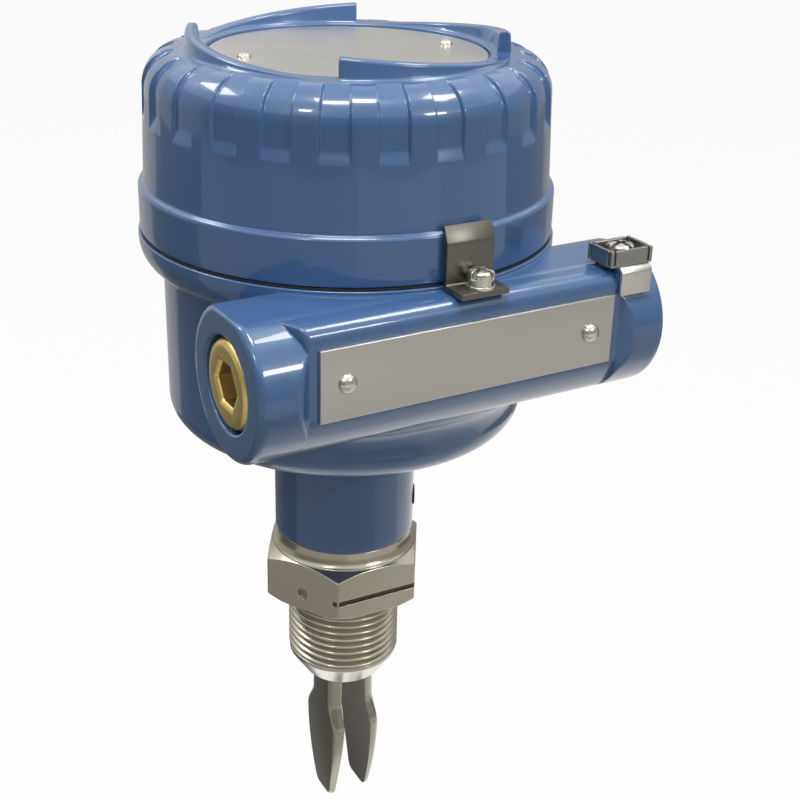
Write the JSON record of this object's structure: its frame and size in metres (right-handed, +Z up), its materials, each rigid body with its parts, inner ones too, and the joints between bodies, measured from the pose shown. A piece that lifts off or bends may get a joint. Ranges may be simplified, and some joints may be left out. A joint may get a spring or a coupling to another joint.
{
  "type": "tuning fork level switch",
  "caption": "Vibrating fork level switch: round housing with a screwed, notched cover, a crosswise conduit bar, a hexagon pipe connection and a short tined fork.",
  "frame": {"origin": "on the sensor axis at the underside of the hexagon, where the pipe thread begins", "axes": "+Z up along the sensor axis towards the cover, +X along the conduit bar towards the open cable entry, -Y towards the nameplate"},
  "size_m": [0.1138, 0.1218, 0.2399],
  "materials": {
    "blue_paint": "gloss enamel over an aluminium casting",
    "black_rubber": "matt",
    "plate_steel": "brushed sheet",
    "pin_steel": "bright plated",
    "clamp_steel": "satin strip",
    "screw_steel": "bright nickel",
    "cage_steel": "dull pressed sheet",
    "plug_brass": "turned",
    "grub_steel": "dark",
    "connection_steel": "turned stainless",
    "fork_steel": "ground stainless",
    "ceramic": "fired",
    "electrode_brass": "thin sheet",
    "cassette_plastic": "moulded",
    "terminal_plastic": "moulded",
    "dial_plastic": "moulded",
    "lens_plastic": "clear tinted"
  },
  "bodies": {
    "base": {"housing": "blue_paint", "cover_seal": "black_rubber", "nameplate": "plate_steel", "nameplate_pins": "pin_steel", "cover_clamp": "clamp_steel", "clamp_screw": "screw_steel", "clamp_spring_washer": "screw_steel", "clamp_flat_washer": "screw_steel", "earth_bracket": "plate_steel", "earth_cage": "cage_steel", "earth_screw": "screw_steel", "earth_washer": "screw_steel", "conduit_plug": "plug_brass", "neck_set_screw": "grub_steel", "neck_seal": "black_rubber", "process_connection": "connection_steel", "fork": "fork_steel", "piezo_rings": "ceramic", "electrode_rings": "electrode_brass", "stack_nut": "connection_steel", "cassette": "cassette_plastic", "cassette_screws": "screw_steel", "terminal_block": "terminal_plastic", "terminal_screws": "screw_steel", "status_lens": "lens_plastic", "inner_earth_screw": "electrode_brass"},
    "cover": {"cover": "blue_paint", "cover_disc": "plate_steel", "cover_disc_pins": "pin_steel"},
    "dial": {"mode_dial": "dial_plastic"}
  },
  "joints": [
    {"name": "cover_turn", "type": "hinge", "parent": "base", "child": "cover", "pos_m": [0, 0, 0.1136], "axis": [0, 0, 1], "range_deg": [0, 90]},
    {"name": "dial_turn", "type": "hinge", "parent": "base", "child": "dial", "pos_m": [0, -0.016, 0.104], "axis": [0, 0, 1], "range_deg": [0, 270]}
  ]
}
